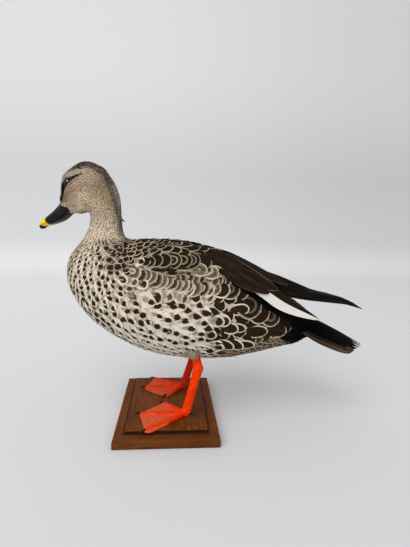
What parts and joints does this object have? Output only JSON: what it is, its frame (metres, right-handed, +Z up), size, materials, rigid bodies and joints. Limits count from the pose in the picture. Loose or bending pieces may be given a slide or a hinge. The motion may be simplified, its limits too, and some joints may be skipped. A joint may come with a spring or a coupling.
{
  "type": "mounted duck specimen",
  "caption": "Life-size museum mount of a standing spot-billed duck on a moulded wooden base, head turned a little to its right.",
  "frame": {"origin": "centre of the base's underside", "axes": "+Z up, +X from the duck's breast towards its tail, +Y to the duck's right"},
  "size_m": [0.4688, 0.193, 0.3522],
  "materials": {
    "wood": "satin stain",
    "spotted_plumage": "matte feathers",
    "face_plumage": "matte feathers",
    "dark_plumage": "matte feathers",
    "black_plumage": "slightly glossy feathers",
    "bill_horn": "glossy horn",
    "bill_yellow": "glossy horn",
    "eye_glass": "polished",
    "leg_skin": "scaly painted skin"
  },
  "bodies": {
    "root": {"base": "wood", "bill_lower": "bill_horn", "bill_tip": "bill_yellow", "bill_upper": "bill_horn", "eye_left": "eye_glass", "eye_right": "eye_glass", "flight_feathers_left": "black_plumage", "flight_feathers_right": "black_plumage", "foot_left": "leg_skin", "foot_right": "leg_skin", "head": "face_plumage", "leg_left": "leg_skin", "leg_right": "leg_skin", "neck": "face_plumage", "tail": "black_plumage", "trunk": "spotted_plumage", "wing_left": "dark_plumage", "wing_right": "dark_plumage"}
  },
  "joints": []
}
